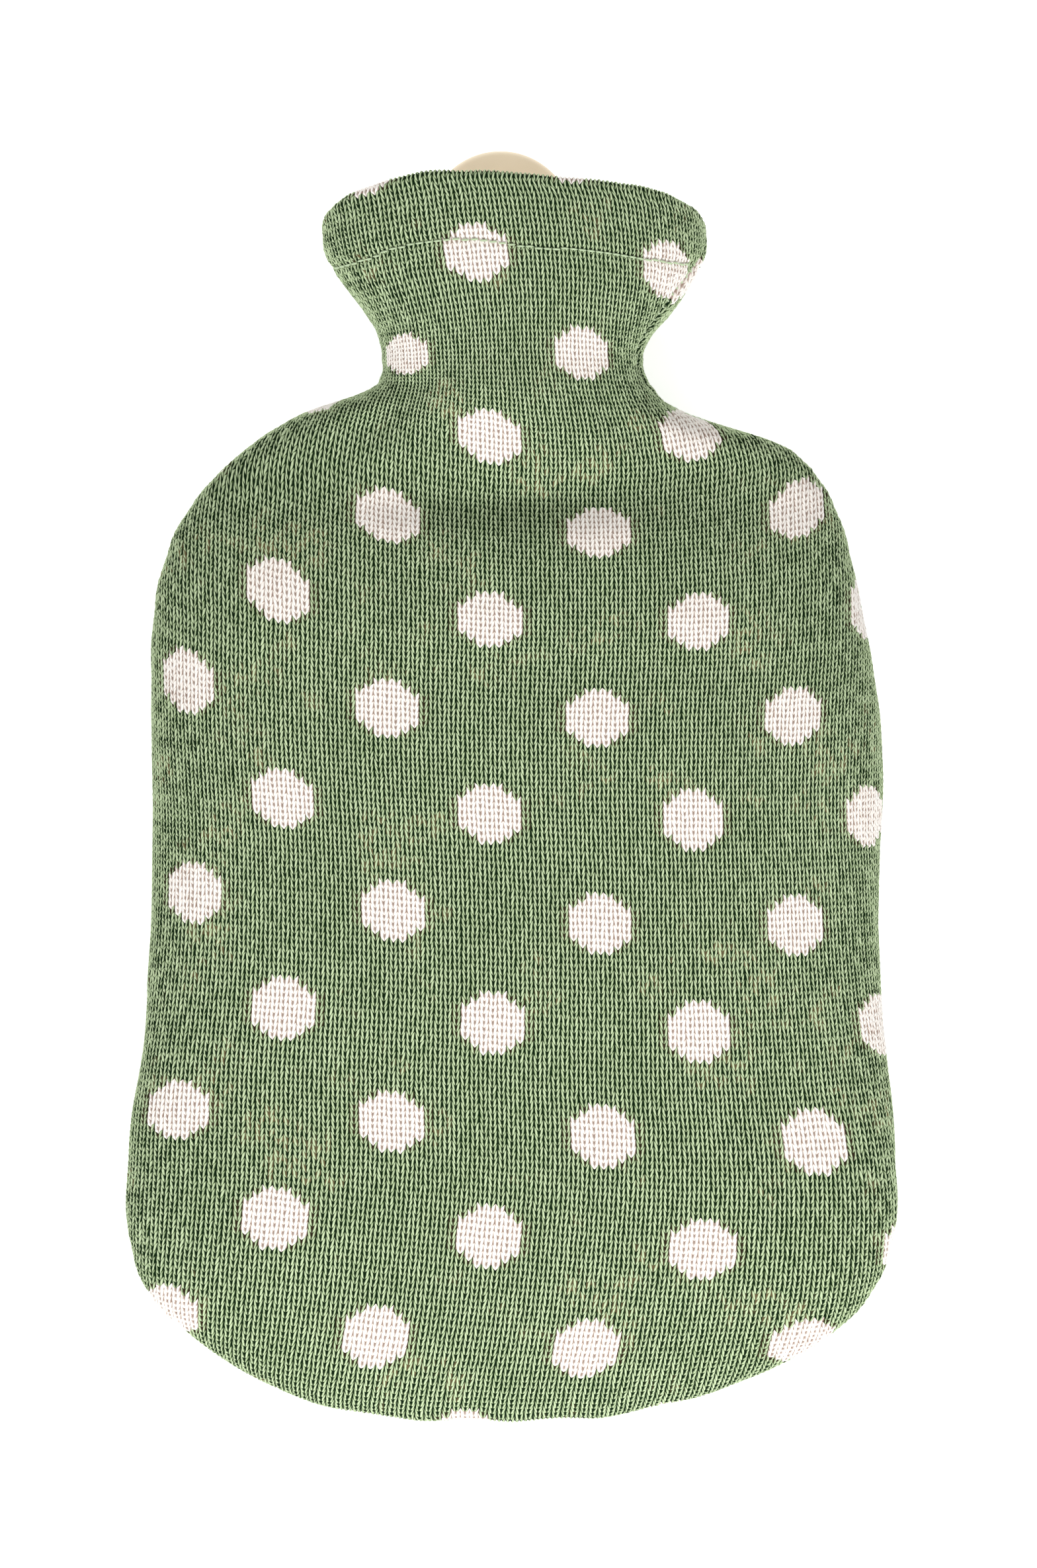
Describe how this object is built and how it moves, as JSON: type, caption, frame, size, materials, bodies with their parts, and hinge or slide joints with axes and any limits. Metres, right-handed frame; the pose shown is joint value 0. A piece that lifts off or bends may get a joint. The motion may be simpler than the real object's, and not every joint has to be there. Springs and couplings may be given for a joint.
{
  "type": "hot water bottle cover with its bottle",
  "caption": "Fine knitted cover with dots, open at a hemmed collar, fitted over a rubber hot water bottle whose hanging tab shows above it.",
  "frame": {"origin": "centre of the bounding box on the plane that the back rests on", "axes": "+Y from the bottom edge to the collar, +X to the right seen from the front, +Z out of the front"},
  "size_m": [0.2034, 0.3354, 0.0509],
  "materials": {
    "knit_front": "fine stockinette knit in mid green with cream dots, soft and matt",
    "knit_back": "the same green knit with cream dots, soft and matt",
    "rubber": "smooth beige moulded rubber with a faint bloom"
  },
  "bodies": {
    "root": {"front_panel": "knit_front", "back_panel": "knit_back", "bottle": "rubber"}
  },
  "joints": []
}
